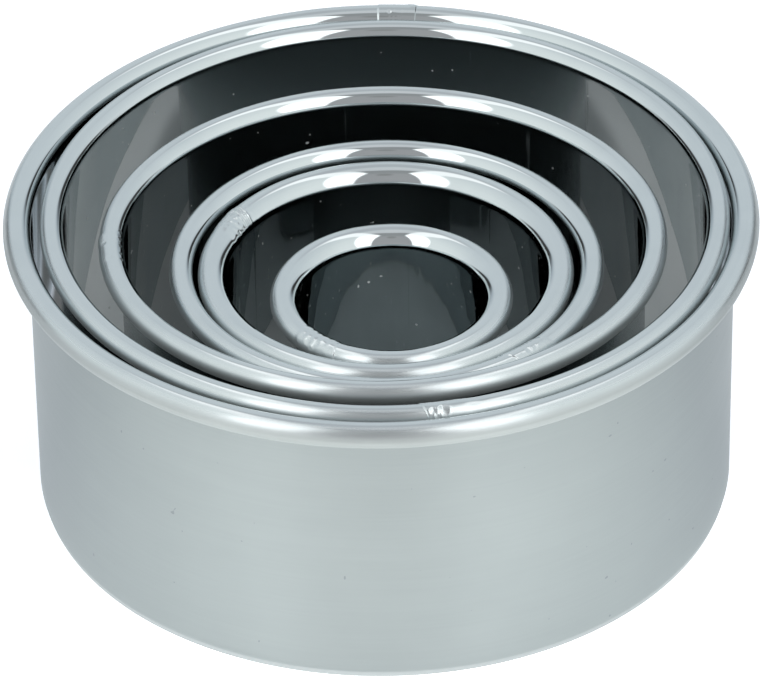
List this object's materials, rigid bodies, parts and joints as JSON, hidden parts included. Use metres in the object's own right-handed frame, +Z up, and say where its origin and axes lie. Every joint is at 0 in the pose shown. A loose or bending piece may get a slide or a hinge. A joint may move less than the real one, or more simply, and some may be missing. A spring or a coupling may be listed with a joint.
{
  "type": "biscuit cutter set",
  "caption": "Nested set of round biscuit cutters in thin polished steel, each an open ring with a rolled hollow rim on top and a thin cutting edge below.",
  "frame": {"origin": "centre of the largest cutter's cutting edge, at table level", "axes": "+Z up along the cutters' axes, -Y towards the side that the picture shows, +X to its right"},
  "size_m": [0.095, 0.0951, 0.0402],
  "materials": {
    "steel": "polished bead, satin wall"
  },
  "bodies": {
    "largest_cutter": {"largest_cutter": "steel"},
    "second_cutter": {"second_cutter": "steel"},
    "third_cutter": {"third_cutter": "steel"},
    "fourth_cutter": {"fourth_cutter": "steel"},
    "fifth_cutter": {"fifth_cutter": "steel"},
    "smallest_cutter": {"smallest_cutter": "steel"}
  },
  "joints": [
    {"name": "second_lift", "type": "slide", "parent": "largest_cutter", "child": "second_cutter", "axis": [0, 0, 1], "range_m": [0, 0.05]},
    {"name": "third_lift", "type": "slide", "parent": "largest_cutter", "child": "third_cutter", "axis": [0, 0, 1], "range_m": [0, 0.05]},
    {"name": "fourth_lift", "type": "slide", "parent": "largest_cutter", "child": "fourth_cutter", "axis": [0, 0, 1], "range_m": [0, 0.05]},
    {"name": "fifth_lift", "type": "slide", "parent": "largest_cutter", "child": "fifth_cutter", "axis": [0, 0, 1], "range_m": [0, 0.05]},
    {"name": "smallest_lift", "type": "slide", "parent": "largest_cutter", "child": "smallest_cutter", "axis": [0, 0, 1], "range_m": [0, 0.05]}
  ]
}
